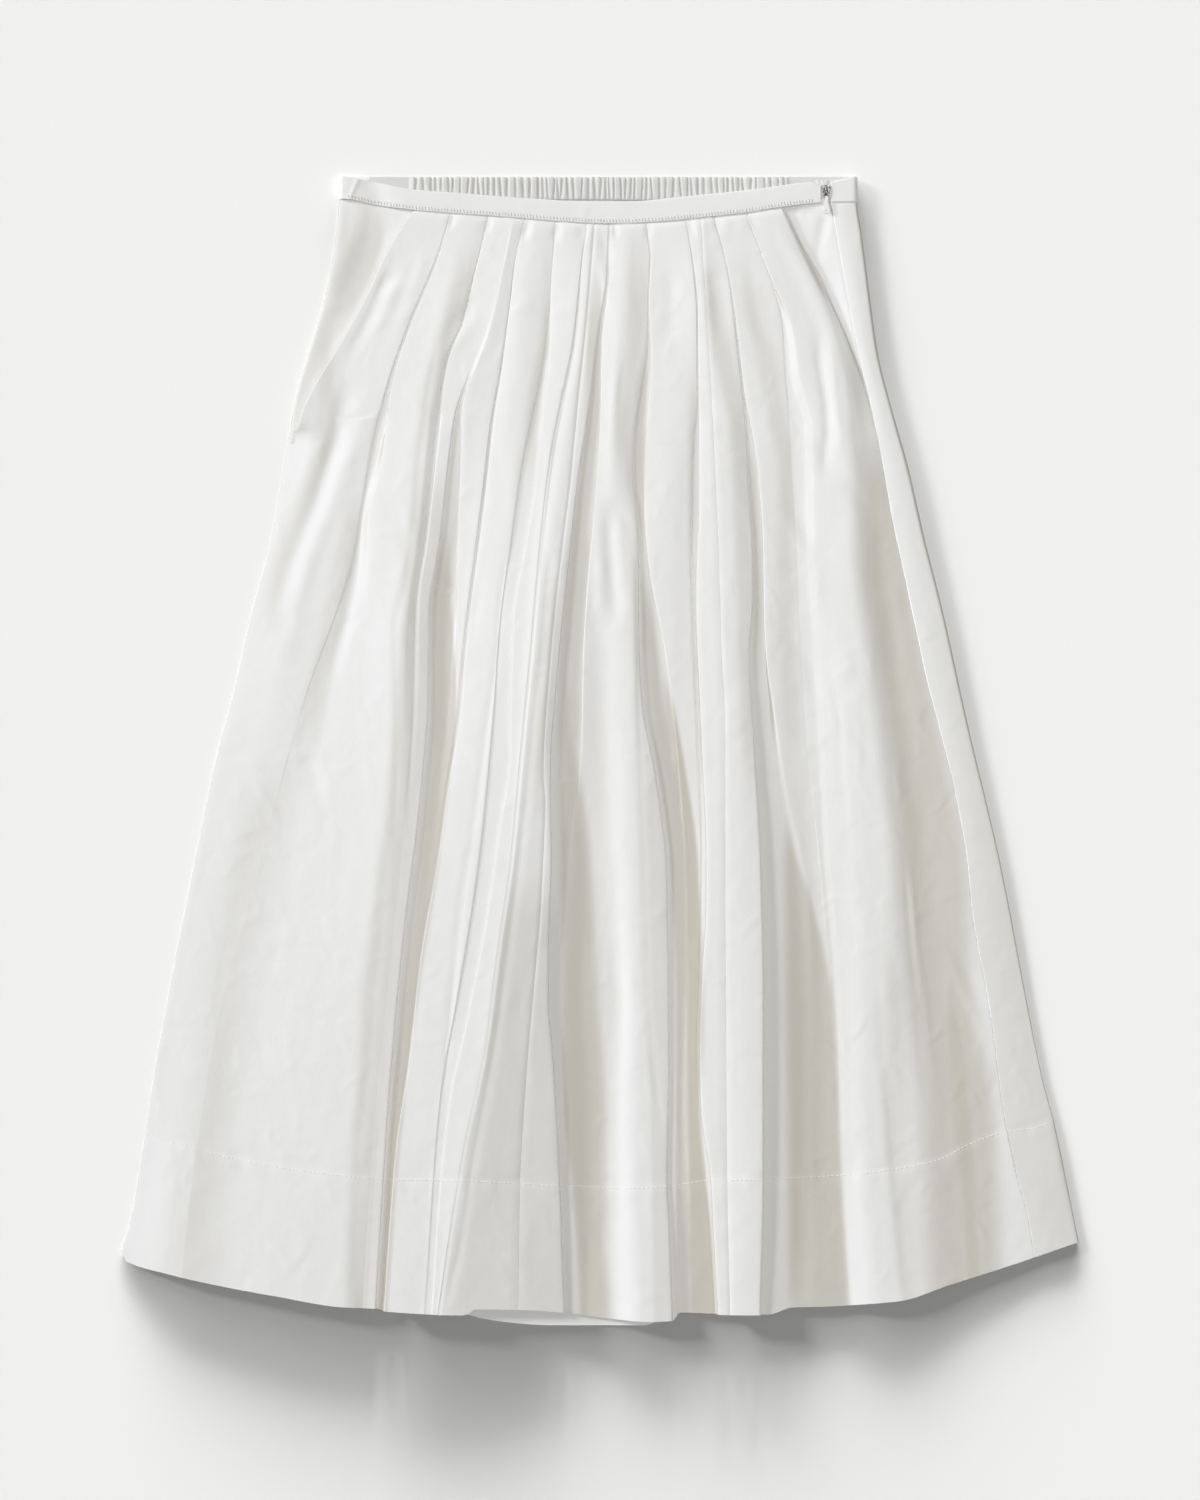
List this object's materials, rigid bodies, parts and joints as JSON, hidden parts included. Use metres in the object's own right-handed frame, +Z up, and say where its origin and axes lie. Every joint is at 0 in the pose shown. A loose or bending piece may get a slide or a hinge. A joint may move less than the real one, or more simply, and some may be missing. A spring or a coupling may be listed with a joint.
{
  "type": "pleated midi skirt",
  "caption": "Flared midi skirt of white poplin with knife pleats, slant pockets, a ruched back waistband and a side zip, laid flat with its front up.",
  "frame": {"origin": "centre of the skirt's box in plan, on the surface that it lies on", "axes": "+X across the skirt towards the wearer's left side, where the zip is, +Y from the hem to the waist, +Z up out of the surface, from the back of the skirt to its front"},
  "size_m": [0.6842, 0.82, 0.0196],
  "materials": {
    "poplin": "crisp plain-woven cotton, matt",
    "band_poplin": "crisp plain-woven cotton, matt",
    "zip_tape": "close woven tape",
    "zip_metal": "bright plated metal",
    "pull_enamel": "smooth white enamel"
  },
  "bodies": {
    "skirt": {"front_gore_left": "poplin", "front_gore_centre": "poplin", "front_gore_right": "poplin", "back_panel": "poplin", "hip_left": "poplin", "hip_right": "poplin", "waistband_front": "band_poplin", "waistband_back": "band_poplin", "zip_tape": "zip_tape", "zip_slider": "zip_metal"},
    "pull_tab": {"zip_pull_tab": "pull_enamel"}
  },
  "joints": [
    {"name": "pull_tab_hinge", "type": "hinge", "parent": "skirt", "child": "pull_tab", "pos_m": [0.1615, 0.3967, 0.0063], "axis": [-1, 0, 0], "range_deg": [0, 150]}
  ]
}
